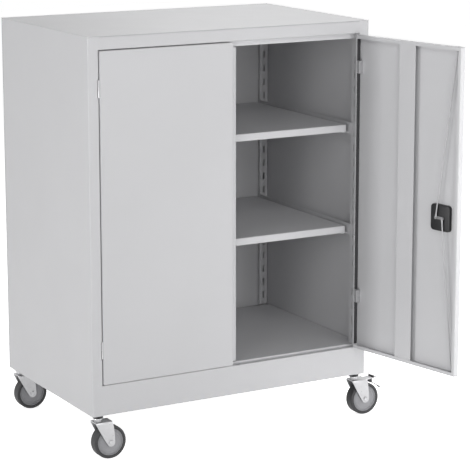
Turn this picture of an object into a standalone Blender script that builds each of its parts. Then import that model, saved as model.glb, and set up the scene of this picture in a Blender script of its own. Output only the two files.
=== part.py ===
"""Steel cabinet with two hinged doors, two shelves and four swivel casters, its right door standing open.

Metres, +Z up. Every piece is laid out from the front left bottom corner of the steel body: x runs to the
right along the front, y runs to the back and z runs up from the underside of the body. The root empty then
moves the whole cabinet so that the floor is at z = 0 and the origin is the centre of the footprint, open
door included.
"""

import math

import bmesh
import bpy
from mathutils import Matrix, Vector

# Body
BODY_WIDTH = 0.920
BODY_DEPTH = 0.600
BODY_HEIGHT = 1.085
SHEET = 0.0012  # steel sheet
BEND = 0.0024  # outer radius of a fold
SEAT = 0.0003  # gap between pieces that rest on each other
OVERRUN = 0.002  # how far a cutter passes the face that it cuts

STILE_WIDTH = 0.0325  # front fold of a side panel
KICK_HEIGHT = 0.0885  # front rail under the doors
HEADER_HEIGHT = 0.0374  # front rail over the doors
STOP_DROP = 0.0165  # door stop that hangs below the header rail
FLOOR_RISE = 0.006  # floor panel above the top of the kick rail
FLOOR_LIP = 0.030
TOP_FLANGE = 0.012  # rear edge of the top, folded down
RAIL_FLANGE = 0.100  # bottom flange that the caster stems pass through
REAR_FLANGE = 0.012  # of a side panel

# Doors
DOOR_GAP = 0.003
DOOR_THICKNESS = 0.018
DOOR_LIP = 0.011  # return lip around the open inner side of a door
RIGHT_DOOR_ANGLE = math.radians(101.0)  # how far the right-hand door stands open
STIFFENER_LEFT = 0.0200
STIFFENER_FACE = 0.066
STIFFENER_START_SHARE = 0.421  # of the door's width, from its hinge edge
STIFFENER_SLOPE = 0.010
STRIP_WIDTH = 0.030  # centre strip behind the meeting edges
STRIP_REACH = 0.019  # of it past the left-hand door's free edge

# Shelves and their slotted uprights
# Share of the slot rows from the lowest one to the one that a shelf hangs from
SHELF_ROW_SHARES = {"lower": 0.37, "upper": 0.74}
SHELF_LIP = 0.022
SHELF_RETURN = 0.012
SHELF_SET_BACK = 0.0465
SHELF_SIDE_GAP = 0.0125  # shelf beside the inner side of the uprights
UPRIGHT_DEPTH = 0.025  # front upright, along y
REAR_UPRIGHT_WIDTH = 0.0290
REAR_UPRIGHT_DEPTH = 0.012
SLOT_PITCH = 0.0443
SLOT_LENGTH = 0.022
SLOT_WIDTH = 0.006  # rear uprights
FRONT_SLOT_WIDTH = 0.003
SLOT_FIRST = 0.1245  # centre height of the lowest slot
SLOT_END = 0.080  # least distance of a slot's centre below the header rail
FRONT_SLOT_INSET = 0.0065  # slot centre behind the front edge of the front upright
RAIL_THICKNESS = 0.0015  # upright plate that carries one end of a shelf
RAIL_RISE = 0.0303  # of the plate above the middle of its slot
RAIL_DROP = 0.0037
RAIL_FRONT = 0.0020  # plate in front of the slot
RAIL_HOOK = 0.004
LEDGE_WIDTH = 0.027  # foot of the plate under the shelf
LEDGE_THICKNESS = 0.0015

# Hinges
BARREL_RADIUS = 0.0027
PIN_RADIUS = 0.0013
BARREL_LENGTH = 0.050
BARREL_FORWARD = 0.001  # hinge axis behind the front plane
LEAF_SHEET = 0.0010
LEAF_DEPTH = 0.014
BARREL_NOTCH = 0.0012  # air around the barrel where it stands in the stile
LEFT_HINGE_FROM_BOTTOM = 0.1035  # middle of a hinge to the end of its door
LEFT_HINGE_FROM_TOP = 0.1046
RIGHT_HINGE_FROM_BOTTOM = 0.1625
RIGHT_HINGE_FROM_TOP = 0.0956
BRACKET_HEIGHT = 0.038
BRACKET_WIDTH = 0.0125

# Lock
LOCK_FROM_FREE_EDGE = 0.0745  # spindle to the free edge
LOCK_HEIGHT = 0.5465
DISH_WIDTH = 0.074
DISH_HEIGHT = 0.0775
DISH_DEPTH = 0.0115
DISH_WALL = 0.002
DISH_FLANGE = 0.008
DISH_CORNER = 0.011
SPINDLE_RADIUS = 0.0045
LEVER_LENGTH = 0.056
LEVER_WIDTH = 0.014
LEVER_THICKNESS = 0.009
CYLINDER_RADIUS = 0.0045
CYLINDER_LENGTH = 0.006
CAM_ARM = 0.0122  # spindle to a rod's pivot
CAM_WIDTH = 0.0085
CAM_THICKNESS = 0.0025
CAM_PIN_RADIUS = 0.0017
ROD_RADIUS = 0.0018
ROD_EYE_RADIUS = 0.0040
ROD_EYE_THICKNESS = 2 * ROD_RADIUS
ROD_TIP_FROM_FREE_EDGE = 0.019
ROD_TIP_DEPTH = 0.010  # behind the outer face of the door
ROD_END_GAP = 0.0015  # rod's end below the top face of the door
ROD_GUIDE_WIDTH = 0.016
ROD_GUIDE_DEPTH = 0.0100

# Casters
WHEEL_RADIUS = 0.050
WHEEL_WIDTH = 0.031
WHEEL_SEGMENTS = 24
TYRE_THICKNESS = 0.0102
TYRE_SHOULDER = 0.0022
HUB_WIDTH = 0.0295
HUB_RIM = 0.005
HUB_WEB = 0.024
HUB_BOSS_RADIUS = 0.0115
AXLE_RADIUS = 0.0050
AXLE_HEAD_RADIUS = 0.0074
AXLE_HEAD_HEIGHT = 0.0035
RUNNING = 0.0003  # radial clearance of a turning fit
CASTER_HEIGHT = 0.133  # underside of the body to the floor
CASTER_TRAIL = 0.0325
CASTER_INSET_X = 0.0255  # swivel axis from the side of the body
CASTER_INSET_Y = 0.0215  # swivel axis from the front or the back
HEAD_RADIUS = 0.0158  # fixed disc under the body
HEAD_HEIGHT = 0.0105
RACE_RADIUS = 0.0118
RACE_HEIGHT = 0.0090
KINGPIN_RADIUS = 0.006
KINGPIN_HEAD_RADIUS = 0.009
KINGPIN_HEAD_HEIGHT = 0.003
STEM_RADIUS = 0.0050  # threaded stem that fixes the caster
STEM_REACH = 0.012  # stem above the underside of the body
STEM_NUT_RADIUS = 0.0096
STEM_NUT_HEIGHT = 0.0065
FORK_SHEET = 0.0025
FORK_WIDTH = 0.0415
FORK_FRONT = 0.0155  # crown in front of the swivel axis
FORK_REAR = 0.0370  # crown behind the swivel axis
FORK_END_RADIUS = 0.0120
FORK_END_START = 212  # degrees; where the slanted front edge of a leg meets its round end
FORK_SKIRT = 0.0045

# Brake pedal of the two right-hand casters
PEDAL_PIVOT_RADIUS = 0.0030
PEDAL_LENGTH = 0.046
PEDAL_WIDTH = 0.030
PEDAL_SHEET = 0.0020
PEDAL_RISE = 0.0050  # far end of the foot plate above its pivot end
PEDAL_PIVOT_DROP = 0.0050  # pivot below the crown
PEDAL_TAB_SHARE = 0.70  # of the pedal's length, from its pivot to the ridge
PEDAL_TAB_WIDTH = 0.027
PEDAL_TAB_HEIGHT = 0.004
BRAKE_NEAR = 0.018  # brake block, from the pivot
BRAKE_FAR = 0.028
BRAKE_NEAR_DROP = 0.0060  # its slanted foot below the pivot
BRAKE_FAR_DROP = 0.0108
BRAKE_WIDTH = 0.024
RELEASE_RADIUS = 0.0015
RELEASE_START_DROP = 0.004
RELEASE_REACH = 0.0205  # tip of the release lever beyond the pedal
RELEASE_DROP = 0.0324

# Sizes that follow from the ones above
LEAF_PLANE = SHEET - BARREL_FORWARD + 2 * SEAT
DOOR_LOW = KICK_HEIGHT + DOOR_GAP / 3
DOOR_HIGH = BODY_HEIGHT - HEADER_HEIGHT - DOOR_GAP
DOOR_HEIGHT = DOOR_HIGH - DOOR_LOW
DOOR_WIDTH = BODY_WIDTH / 2 - STILE_WIDTH - DOOR_GAP - DOOR_GAP / 2
STOP_PLANE = DOOR_THICKNESS + SEAT + SHEET + SEAT
FLOOR_TOP = KICK_HEIGHT + FLOOR_RISE
BACK_PLANE = BODY_DEPTH - SHEET
AXLE_DROP = CASTER_HEIGHT - WHEEL_RADIUS * math.cos(math.pi / WHEEL_SEGMENTS)
CROWN_TOP = HEAD_HEIGHT + RACE_HEIGHT + SEAT
CORNERS = {
    "front_left": (CASTER_INSET_X, CASTER_INSET_Y),
    "front_right": (BODY_WIDTH - CASTER_INSET_X, CASTER_INSET_Y),
    "rear_left": (CASTER_INSET_X, BODY_DEPTH - CASTER_INSET_Y),
    "rear_right": (BODY_WIDTH - CASTER_INSET_X, BODY_DEPTH - CASTER_INSET_Y),
}


def clear_scene():
    for old in list(bpy.data.objects):
        bpy.data.objects.remove(old, do_unlink=True)


def make_collection(name):
    collection = bpy.data.collections.new(name)
    bpy.context.scene.collection.children.link(collection)
    return collection


def make_material(name, colour, roughness, metallic):
    material = bpy.data.materials.new(name)
    material.use_nodes = True
    shader = material.node_tree.nodes["Principled BSDF"]
    shader.inputs["Base Color"].default_value = (*colour, 1.0)
    shader.inputs["Roughness"].default_value = roughness
    shader.inputs["Metallic"].default_value = metallic
    return material


def add_object(name, mesh, material, parent, location=(0, 0, 0)):
    item = bpy.data.objects.new(name, mesh)
    item.location = location
    item.parent = parent
    if material:
        mesh.materials.append(material)
    collections["cabinet"].objects.link(item)
    return item


def add_empty(name, parent, location, turn=0.0):
    empty = bpy.data.objects.new(name, None)
    empty.location = location
    empty.rotation_euler = (0, 0, turn)
    empty.parent = parent
    collections["cabinet"].objects.link(empty)
    return empty


def mesh_from(build, name):
    work = bmesh.new()
    build(work)
    mesh = bpy.data.meshes.new(name)
    work.to_mesh(mesh)
    work.free()
    return mesh


def add_box(work, low, high):
    """Adds a cube primitive that spans the two corners."""
    low, high = Vector(low), Vector(high)
    cube = bmesh.ops.create_cube(work, size=1.0)
    bmesh.ops.scale(work, vec=high - low, verts=cube["verts"])
    bmesh.ops.translate(work, vec=(low + high) / 2, verts=cube["verts"])
    return cube["verts"]


def add_rod(work, radius, start, end, segments=16, tip=None):
    """Adds a cylinder or cone primitive from start to end."""
    start, end = Vector(start), Vector(end)
    turn = (end - start).to_track_quat("Z", "Y").to_matrix().to_4x4()
    place = Matrix.Translation((start + end) / 2) @ turn
    return bmesh.ops.create_cone(work, cap_ends=True, segments=segments, radius1=radius,
                                 radius2=radius if tip is None else tip, depth=(end - start).length,
                                 matrix=place)["verts"]


def box(name, low, high, material, parent):
    return add_object(name, mesh_from(lambda work: add_box(work, low, high), name), material, parent)


def cutter(name, build, parent):
    """Makes a hidden guide whose closed shells are cut from, or joined to, a piece."""
    item = bpy.data.objects.new(name, mesh_from(build, name))
    item.parent = parent
    item.display_type = "WIRE"
    item.hide_render = True
    collections["cutters"].objects.link(item)
    return item


def boolean(item, other, operation="DIFFERENCE"):
    change = item.modifiers.new(other.name, "BOOLEAN")
    change.operation = operation
    change.solver = "EXACT"
    change.object = other


def solidify(item, thickness=SHEET):
    change = item.modifiers.new("sheet", "SOLIDIFY")
    change.thickness = thickness
    change.offset = -1
    change.use_even_offset = True


def round_folds(item, width=BEND, segments=2):
    change = item.modifiers.new("folds", "BEVEL")
    change.width = width
    change.segments = segments
    change.limit_method = "ANGLE"
    change.angle_limit = math.radians(40)


def folded(name, profile, run, outside, material, parent, thickness=SHEET, bend=BEND):
    """Extrudes an open profile along run; the sheet lies on the side away from the point outside."""

    def build(work):
        spots = [work.verts.new(point) for point in profile]
        edges = [work.edges.new(pair) for pair in zip(spots, spots[1:])]
        grown = bmesh.ops.extrude_edge_only(work, edges=edges)["geom"]
        bmesh.ops.translate(work, vec=run, verts=[g for g in grown if isinstance(g, bmesh.types.BMVert)])
        first = spots[0].link_faces[0]
        first.normal_update()
        if first.normal.dot(Vector(outside) - first.calc_center_median()) < 0:
            bmesh.ops.reverse_faces(work, faces=work.faces[:])

    item = add_object(name, mesh_from(build, name), material, parent)
    if bend:
        round_folds(item, bend)
    solidify(item, thickness)
    return item


def tray(name, low, high, open_side, lip, material, parent, bend=BEND):
    """A folded box that is open on one side, with a return lip of the given width around the opening."""

    def build(work):
        add_box(work, low, high)
        work.normal_update()
        opening = max(work.faces, key=lambda face: face.normal.dot(Vector(open_side)))
        if lip:
            bmesh.ops.inset_region(work, faces=[opening], thickness=lip, use_even_offset=True)
        bmesh.ops.delete(work, geom=[opening], context="FACES_ONLY")

    item = add_object(name, mesh_from(build, name), material, parent)
    round_folds(item, bend)
    solidify(item)
    return item


def turned(name, profile, material, parent, location=(0, 0, 0), axis="Y", segments=WHEEL_SEGMENTS):
    """Turns a closed ring profile of (radius, height) points about its axis."""

    def build(work):
        spots = [work.verts.new((radius, 0, height)) for radius, height in profile]
        for pair in zip(spots, spots[1:] + spots[:1]):
            work.edges.new(pair)

    item = add_object(name, mesh_from(build, name), material, parent, location)
    spin = item.modifiers.new("turn", "SCREW")
    spin.axis = "Z"
    spin.steps = segments
    spin.render_steps = segments
    spin.use_merge_vertices = True
    spin.merge_threshold = 0.00001
    if axis == "Y":
        item.rotation_euler = (math.radians(90), math.pi / segments, 0)
    return item


def slot_boxes(centres, half_size):
    def build(work):
        for centre in centres:
            centre = Vector(centre)
            add_box(work, centre - Vector(half_size), centre + Vector(half_size))

    return build


def slot_heights():
    rows = int((BODY_HEIGHT - HEADER_HEIGHT - SLOT_END - SLOT_FIRST) / SLOT_PITCH) + 1
    return [SLOT_FIRST + SLOT_PITCH * row for row in range(rows)]


def hinge_heights(side):
    if side == "left":
        return DOOR_LOW + LEFT_HINGE_FROM_BOTTOM, DOOR_HIGH - LEFT_HINGE_FROM_TOP
    return DOOR_LOW + RIGHT_HINGE_FROM_BOTTOM, DOOR_HIGH - RIGHT_HINGE_FROM_TOP


def mirrored(x, side):
    """Gives the x of a point that lies as far from its own side panel as x does from the left-hand one."""
    return x if side == "left" else BODY_WIDTH - x


def make_side_panel(side, parent):
    """Side wall with its front stile, the stile's return beside the door and a rear flange."""
    at = lambda x, y: (mirrored(x, side), y, 0)
    rear = BACK_PLANE - SEAT
    profile = [
        at(STILE_WIDTH, DOOR_THICKNESS), at(STILE_WIDTH, 0), at(0, 0),
        at(0, rear), at(REAR_FLANGE, rear),
    ]
    top = BODY_HEIGHT - SHEET - SEAT
    panel = folded(f"{side}_side_panel", profile, (0, 0, top), at(BODY_WIDTH / 2, 0), paint, parent)
    notch_from = STILE_WIDTH - BARREL_RADIUS - BARREL_NOTCH
    notch_back = BARREL_FORWARD + BARREL_RADIUS + BARREL_NOTCH
    low, high = sorted((mirrored(notch_from, side), mirrored(STILE_WIDTH + OVERRUN, side)))
    half = BARREL_LENGTH / 2 + BARREL_NOTCH

    def notches(work):
        for height in hinge_heights(side):
            add_box(work, (low, -OVERRUN, height - half), (high, notch_back, height + half))
        near, far = span(side, STILE_WIDTH - BEND, STILE_WIDTH + OVERRUN, BEND, DOOR_THICKNESS + OVERRUN,
                         -OVERRUN, KICK_HEIGHT)
        add_box(work, near, far)

    boolean(panel, cutter(f"{side}_stile_notches", notches, parent))


def make_top(parent):
    """Flat top sheet over the side panels, with a rear flange, and the header rail between the stiles."""
    top = BODY_HEIGHT
    profile = [(0, 0, top), (0, BODY_DEPTH, top), (0, BODY_DEPTH, top - TOP_FLANGE)]
    folded("top_panel", profile, (BODY_WIDTH, 0, 0), (0, BODY_DEPTH / 2, top + BODY_HEIGHT),
           paint, parent, bend=0)
    left = STILE_WIDTH + SEAT
    low = top - HEADER_HEIGHT
    under = top - SHEET - SEAT
    profile = [
        (left, STOP_PLANE, low - STOP_DROP), (left, STOP_PLANE, low), (left, 0, low),
        (left, 0, under), (left, FLOOR_LIP, under),
    ]
    header = folded("header_rail", profile, (BODY_WIDTH - 2 * left, 0, 0),
                    (left, -BODY_DEPTH, low - STOP_DROP), paint, parent)
    hole = keeper_hole(low - OVERRUN, low + SHEET + OVERRUN)
    boolean(header, cutter("header_keeper", boxes(*hole), parent))


def keeper_hole(low, high):
    """Box of the hole that a lock rod enters when the right-hand door is shut and locked."""
    x = BODY_WIDTH - STILE_WIDTH - DOOR_GAP - DOOR_WIDTH + ROD_TIP_FROM_FREE_EDGE
    half_width, half_depth = ROD_GUIDE_WIDTH / 2, ROD_GUIDE_DEPTH / 2
    near = (x - half_width, ROD_TIP_DEPTH - half_depth, low)
    far = (x + half_width, ROD_TIP_DEPTH + half_depth, high)
    return near, far


def make_base(parent):
    """Kick rail, rear rail and floor panel; the rails' bottom flanges carry the casters."""
    left, width = BEND + SEAT, BODY_WIDTH - 2 * (BEND + SEAT)
    stile = STILE_WIDTH + SEAT
    profile = [
        (stile, STOP_PLANE - SEAT - SHEET, KICK_HEIGHT), (stile, 0, KICK_HEIGHT),
        (stile, 0, 0), (stile, RAIL_FLANGE, 0),
    ]
    kick = folded("kick_rail", profile, (BODY_WIDTH - 2 * stile, 0, 0), (stile, 0, BODY_HEIGHT),
                  paint, parent)
    rear = BACK_PLANE - SEAT - SHEET - SEAT
    profile = [
        (left, rear - FLOOR_LIP, KICK_HEIGHT - SHEET), (left, rear, KICK_HEIGHT - SHEET),
        (left, rear, 0), (left, rear - RAIL_FLANGE, 0),
    ]
    boolean(kick, cutter("kick_flange_ends", boxes(
        (left, BEND + SEAT, 0), (left + width, RAIL_FLANGE, SHEET)), parent), "UNION")
    back = folded("rear_rail", profile, (width, 0, 0), (left, rear, BODY_HEIGHT), paint, parent)

    def stem_holes(work):
        for x, y in CORNERS.values():
            add_rod(work, STEM_RADIUS + SEAT, (x, y, -OVERRUN), (x, y, SHEET + OVERRUN), 12)

    hole = keeper_hole(KICK_HEIGHT - SHEET - OVERRUN, KICK_HEIGHT + OVERRUN)
    boolean(kick, cutter("kick_keeper", boxes(*hole), parent))
    holes = cutter("rail_stem_holes", stem_holes, parent)
    boolean(kick, holes)
    boolean(back, holes)
    tray("floor_panel", (left, STOP_PLANE, FLOOR_TOP - FLOOR_LIP),
         (left + width, rear - FLOOR_LIP - SEAT, FLOOR_TOP), (0, 0, -1), 0, paint, parent)
    box("back_panel", (0, BACK_PLANE, 0), (BODY_WIDTH, BODY_DEPTH, BODY_HEIGHT - TOP_FLANGE - SEAT),
        paint, parent)


def make_uprights(parent):
    """Slotted uprights: the front pair stands beside the doors, the rear pair in the back corners."""
    low, high = FLOOR_TOP + SEAT, BODY_HEIGHT - SHEET - SEAT
    front = DOOR_THICKNESS + SEAT
    rear = BACK_PLANE - SEAT - SHEET - SEAT
    half_slot = SLOT_LENGTH / 2
    for side in ("left", "right"):
        at = lambda x, y: (mirrored(x, side), y, low)
        wall = BEND + SEAT
        web = STILE_WIDTH
        behind = front + UPRIGHT_DEPTH
        profile = [at(wall, front), at(web, front), at(web, behind), at(wall, behind)]
        upright = folded(f"upright_front_{side}", profile, (0, 0, high - low - HEADER_HEIGHT),
                         at(BODY_WIDTH / 2, -BODY_DEPTH), paint, parent, bend=BEND)
        centres = [(mirrored(web, side), front + FRONT_SLOT_INSET, z) for z in slot_heights()]
        boolean(upright, cutter(f"slots_front_{side}", slot_boxes(
            centres, (SHEET + OVERRUN, FRONT_SLOT_WIDTH / 2, half_slot)), parent))
        face = rear - REAR_UPRIGHT_DEPTH
        profile = [at(wall, rear), at(wall, face), at(wall + REAR_UPRIGHT_WIDTH, face),
                   at(wall + REAR_UPRIGHT_WIDTH, rear)]
        upright = folded(f"upright_rear_{side}", profile, (0, 0, high - low), at(-BODY_WIDTH, face),
                         paint, parent)
        centres = [(mirrored(wall + REAR_UPRIGHT_WIDTH / 2, side), face, z) for z in slot_heights()]
        boolean(upright, cutter(f"slots_rear_{side}", slot_boxes(
            centres, (SLOT_WIDTH / 2, SHEET + OVERRUN, half_slot)), parent))


def shelf_back():
    return BACK_PLANE - 3 * SEAT - SHEET - REAR_UPRIGHT_DEPTH


def make_shelves(parent):
    left = STILE_WIDTH + SHELF_SIDE_GAP
    for level, share in SHELF_ROW_SHARES.items():
        rows = slot_heights()
        slot = rows[round((len(rows) - 1) * share)]
        under = slot + RAIL_HOOK / 2 + SEAT
        top = under + SHELF_LIP
        tray(f"{level}_shelf", (left, SHELF_SET_BACK, under), (BODY_WIDTH - left, shelf_back(), top),
             (0, 0, -1), SHELF_RETURN, paint, parent)
        for side in ("left", "right"):
            make_shelf_rail(f"{level}_shelf_rail_{side}", side, slot, parent)


def make_shelf_rail(name, side, slot, parent):
    """Upright plate on the uprights' inner side with a foot under the shelf, hooked into two slots."""
    outer, inner = STILE_WIDTH + SEAT, STILE_WIDTH + SEAT + RAIL_THICKNESS
    half = RAIL_HOOK / 2
    face = shelf_back()
    front_y = DOOR_THICKNESS + SEAT + FRONT_SLOT_INSET
    rear_x = BEND + SEAT + REAR_UPRIGHT_WIDTH / 2
    foot = slot + half - LEDGE_THICKNESS
    low, high = slot - half, slot + half
    plate = span(side, outer, inner, front_y - RAIL_FRONT, face, slot - RAIL_DROP, slot + RAIL_RISE)
    rail = box(name, *plate, zinc, parent)
    deep = face + SEAT + SHEET * 2
    arms = (
        (outer, outer + LEDGE_WIDTH, SHELF_SET_BACK + BEND, face - BEND, foot, high),
        (outer - SHEET * 2, (outer + inner) / 2, front_y - half / 2, front_y + half / 2, low, high),
        (rear_x - half / 2, inner, face - half, face, low, high),
        (rear_x - half / 2, rear_x + half / 2, face - half, deep, low, high),
    )
    for index, arm in enumerate(arms):
        near, far = span(side, *arm)
        boolean(rail, cutter(f"{name}_arm_{index}", boxes(near, far), parent), "UNION")


def boxes(low, high):
    return lambda work: add_box(work, low, high)


def span(side, x0, x1, y0, y1, z0, z1):
    """Two corners of a box whose x sizes are measured from its own side panel."""
    low, high = sorted((mirrored(x0, side), mirrored(x1, side)))
    return (low, y0, z0), (high, y1, z1)


def make_door(side, hinge):
    """Folded door pan in closed position about its hinge axis; x runs from the hinge into the opening."""
    sign = 1 if side == "left" else -1
    near, far = sign * DOOR_GAP, sign * (DOOR_GAP + DOOR_WIDTH)
    low_x, high_x = sorted((near, far))
    front = -BARREL_FORWARD
    panel = tray(f"{side}_door_panel", (low_x, front, DOOR_LOW), (high_x, front + DOOR_THICKNESS, DOOR_HIGH),
                 (0, 1, 0), DOOR_LIP, paint, hinge)
    make_stiffener(side, sign, hinge)
    inner = front + DOOR_THICKNESS
    if side == "left":
        make_centre_strip(far, inner, hinge)
    else:
        cut_lock_openings(panel, far, front, hinge)

    boolean(panel, cutter(f"{side}_door_leaf_slots", lambda work: leaf_slots(work, side, sign), hinge))


def leaf_slots(work, side, sign):
    """Slots in the door's hinge edge that the door leaves pass through."""
    for height in hinge_heights(side):
        low, high = sorted((sign * (DOOR_GAP - OVERRUN), sign * (DOOR_GAP + SHEET + BEND + OVERRUN)))
        top = height + BARREL_LENGTH / 2 + SEAT
        add_box(work, (low, LEAF_PLANE - SEAT, height), (high, LEAF_PLANE + LEAF_SHEET + SEAT, top))


def make_stiffener(side, sign, hinge):
    """Upright channel on the inner side of a door: a sloped flank and a face level with the lips."""
    skin = -BARREL_FORWARD + SHEET + SEAT
    face = -BARREL_FORWARD + DOOR_THICKNESS - SHEET - SEAT
    start = DOOR_GAP + DOOR_WIDTH * STIFFENER_START_SHARE
    at = lambda x, y: (sign * x, y, DOOR_LOW + BEND + SEAT)
    profile = [at(start - STIFFENER_LEFT, skin + SHEET), at(start - STIFFENER_SLOPE, skin + SHEET),
               at(start, face), at(start + STIFFENER_FACE, face)]
    folded(f"{side}_door_stiffener", profile, (0, 0, DOOR_HEIGHT - 2 * (BEND + SEAT)),
           at(start, face + BODY_DEPTH), paint, hinge)


def make_centre_strip(far, inner, hinge):
    """Strip behind the meeting edges that the right-hand door closes against."""
    low = FLOOR_TOP + DOOR_GAP
    high = BODY_HEIGHT - HEADER_HEIGHT - STOP_DROP - DOOR_GAP
    box("centre_strip", (far + STRIP_REACH - STRIP_WIDTH, inner + SEAT, low),
        (far + STRIP_REACH, inner + SEAT + SHEET, high), paint, hinge)


def lock_x():
    """Spindle's x from the right-hand hinge axis, door closed."""
    return -(DOOR_GAP + DOOR_WIDTH - LOCK_FROM_FREE_EDGE)


def cut_lock_openings(panel, far, front, hinge):
    """Opening for the handle dish, and the slots in the door's top and bottom where the rods come out."""
    x = lock_x()
    half_w, half_h = DISH_WIDTH / 2 + SEAT, DISH_HEIGHT / 2 + SEAT
    tip = far + ROD_TIP_FROM_FREE_EDGE
    middle = front + ROD_TIP_DEPTH
    half_guide, half_depth = ROD_GUIDE_WIDTH / 2, ROD_GUIDE_DEPTH / 2

    def openings(work):
        add_box(work, (x - half_w, front - OVERRUN, LOCK_HEIGHT - half_h),
                (x + half_w, front + SHEET + OVERRUN, LOCK_HEIGHT + half_h))
        for z in (DOOR_LOW, DOOR_HIGH):
            add_box(work, (tip - half_guide, middle - half_depth, z - SHEET - OVERRUN),
                    (tip + half_guide, middle + half_depth, z + SHEET + OVERRUN))

    boolean(panel, cutter("right_door_openings", openings, hinge))


def make_hinge(side, index, hinge_axis, parent, hinge):
    """Lift-off hinge: frame leaf whose knuckle holds the pin, and door leaf with a bracket in the door."""
    height = hinge_heights(side)[index]
    sign = 1 if side == "left" else -1
    level = ("lower", "upper")[index]
    half = BARREL_LENGTH / 2
    x, y = hinge_axis
    reach = sorted((sign * SEAT, sign * (SEAT + LEAF_SHEET)))
    frame = add_object(f"hinge_frame_leaf_{side}_{level}", mesh_from(lambda work: add_rod(
        work, BARREL_RADIUS, (x, y, height - half), (x, y, height - SEAT), 16), "knuckle"), zinc, parent)
    boolean(frame, cutter(f"frame_plate_{side}_{level}", boxes(
        (x + reach[0], y, height - half), (x + reach[1], y + LEAF_DEPTH, height - SEAT)), parent), "UNION")
    boolean(frame, cutter(f"hinge_pin_{side}_{level}", lambda work: add_rod(
        work, PIN_RADIUS, (x, y, height - half / 2), (x, y, height + half - SEAT), 12), parent), "UNION")
    door = add_object(f"hinge_door_leaf_{side}_{level}", mesh_from(lambda work: add_rod(
        work, BARREL_RADIUS, (0, 0, height + SEAT), (0, 0, height + half), 16), "knuckle"), zinc, hinge)
    bracket = DOOR_GAP + SHEET + SEAT + DOOR_LIP - BEND
    ends = sorted((0, sign * (bracket + BRACKET_WIDTH / 2)))
    boolean(door, cutter(f"door_plate_{side}_{level}", boxes(
        (ends[0], LEAF_PLANE, height + SEAT), (ends[1], LEAF_PLANE + LEAF_SHEET, height + half)), hinge),
        "UNION")
    ends = sorted((sign * bracket, sign * (bracket + BRACKET_WIDTH)))
    near = (ends[0], -BARREL_FORWARD + SHEET + SEAT, height - BRACKET_HEIGHT / 2)
    far = (ends[1], -BARREL_FORWARD + DOOR_THICKNESS - SHEET - SEAT, height + BRACKET_HEIGHT / 2)
    boolean(door, cutter(f"door_bracket_{side}_{level}", boxes(near, far), hinge), "UNION")
    boolean(door, cutter(f"door_bore_{side}_{level}", lambda work: add_rod(
        work, PIN_RADIUS + SEAT, (0, 0, height - OVERRUN), (0, 0, height + half + OVERRUN), 12), hinge))


def rounded_outline(half_width, half_height, corner, steps=4):
    """Corner points of a rectangle with round corners, counter-clockwise."""
    points = []
    for quarter, (sx, sy) in enumerate(((1, 1), (-1, 1), (-1, -1), (1, -1))):
        for step in range(steps + 1):
            angle = math.radians(90) * (quarter + step / steps)
            points.append((sx * (half_width - corner) + corner * math.cos(angle),
                           sy * (half_height - corner) + corner * math.sin(angle)))
    return points


def add_prism(work, outline, place, thickness):
    """Extrudes a flat outline, laid out by place, along place's own z."""
    spots = [work.verts.new(place @ Vector((x, y, 0))) for x, y in outline]
    face = work.faces.new(spots)
    grown = bmesh.ops.extrude_face_region(work, geom=[face])["geom"]
    shift = place.to_3x3() @ Vector((0, 0, thickness))
    bmesh.ops.translate(work, vec=shift, verts=[g for g in grown if isinstance(g, bmesh.types.BMVert)])
    bmesh.ops.recalc_face_normals(work, faces=work.faces[:])


def door_plane(x, y, z):
    """Matrix that lays an outline upright in the door's plane, its own z pointing to the back."""
    turn = Matrix.Rotation(math.radians(90), 4, "X") @ Matrix.Scale(-1, 4, (0, 0, 1))
    return Matrix.Translation((x, y, z)) @ turn


def make_lock(hinge):
    """Recessed handle dish, turning lever with its cylinder, and the cam that moves the two rods."""
    x, z = lock_x(), LOCK_HEIGHT
    front = -BARREL_FORWARD
    back = front + DISH_DEPTH
    outer = rounded_outline(DISH_WIDTH / 2, DISH_HEIGHT / 2, DISH_CORNER)
    inner = rounded_outline(DISH_WIDTH / 2 - DISH_WALL, DISH_HEIGHT / 2 - DISH_WALL, DISH_CORNER - DISH_WALL)
    flange = rounded_outline(DISH_WIDTH / 2 + DISH_FLANGE, DISH_HEIGHT / 2 + DISH_FLANGE, DISH_CORNER)
    face = front - SEAT - DISH_WALL
    start = front - SEAT - DISH_WALL / 2
    dish = add_object("handle_dish", mesh_from(lambda work: add_prism(
        work, outer, door_plane(x, start, z), back - front + DISH_WALL / 2), "handle_dish"), black, hinge)
    boolean(dish, cutter("dish_flange", lambda work: add_prism(
        work, flange, door_plane(x, face, z), DISH_WALL), hinge), "UNION")
    boolean(dish, cutter("dish_recess", lambda work: add_prism(
        work, inner, door_plane(x, face - OVERRUN, z), back - SEAT - DISH_WALL - face + OVERRUN), hinge))
    boolean(dish, cutter("dish_bore", lambda work: add_rod(
        work, SPINDLE_RADIUS + RUNNING, (x, front, z), (x, back + OVERRUN, z), 20), hinge))
    turn = add_empty("handle_axis", hinge, (x, 0, z))
    make_lever(turn, face, back)
    make_cam(turn, back)
    return turn


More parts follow.
